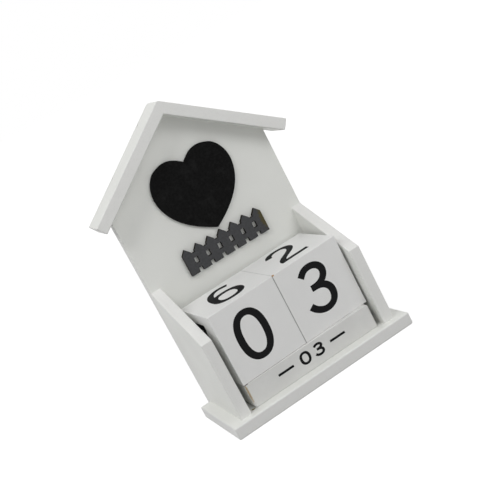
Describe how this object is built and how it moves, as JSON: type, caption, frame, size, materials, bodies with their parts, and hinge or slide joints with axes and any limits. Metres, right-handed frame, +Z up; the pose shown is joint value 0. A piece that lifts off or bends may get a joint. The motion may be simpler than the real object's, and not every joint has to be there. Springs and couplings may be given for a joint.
{
  "type": "perpetual desk calendar",
  "caption": "House-shaped perpetual desk calendar: painted board case with gable roof, heart plaque, loose date cubes and loose month bars.",
  "frame": {"origin": "on the underside, in the middle of the overall width and depth", "axes": "+Z up, +X to the right seen from the front, +Y from the front to the back panel"},
  "size_m": [0.1174, 0.0588, 0.1608],
  "materials": {
    "white_paint": "sprayed satin white paint on fibreboard",
    "block_paint": "satin white paint on solid wood, edges slightly worn",
    "blackboard": "matt black blackboard paint",
    "grey_cutout": "dark grey paint with charred laser-cut edges",
    "brad_steel": "bright steel, heads painted over"
  },
  "bodies": {
    "case": {"base_board": "white_paint", "back_panel": "white_paint", "left_side_panel": "white_paint", "right_side_panel": "white_paint", "left_roof_board": "white_paint", "right_roof_board": "white_paint", "heart_plaque": "blackboard", "fence_plaque": "grey_cutout", "back_brads": "brad_steel", "base_brads": "brad_steel", "roof_brads": "brad_steel"},
    "left_cube": {"left_date_cube": "block_paint"},
    "right_cube": {"right_date_cube": "block_paint"},
    "front_bar": {"front_month_bar": "block_paint"},
    "middle_bar": {"middle_month_bar": "block_paint"},
    "rear_bar": {"rear_month_bar": "block_paint"}
  },
  "joints": [
    {"name": "left_cube_lift", "type": "slide", "parent": "case", "child": "left_cube", "axis": [0, 0, 1], "range_m": [0, 0.056]},
    {"name": "right_cube_lift", "type": "slide", "parent": "case", "child": "right_cube", "axis": [0, 0, 1], "range_m": [0, 0.056]},
    {"name": "rear_bar_slide", "type": "slide", "parent": "case", "child": "rear_bar", "axis": [0, -1, 0], "range_m": [0, 0.022]},
    {"name": "middle_bar_slide", "type": "slide", "parent": "rear_bar", "child": "middle_bar", "axis": [0, -1, 0], "range_m": [0, 0.022]},
    {"name": "front_bar_slide", "type": "slide", "parent": "middle_bar", "child": "front_bar", "axis": [0, -1, 0], "range_m": [0, 0.022]}
  ]
}
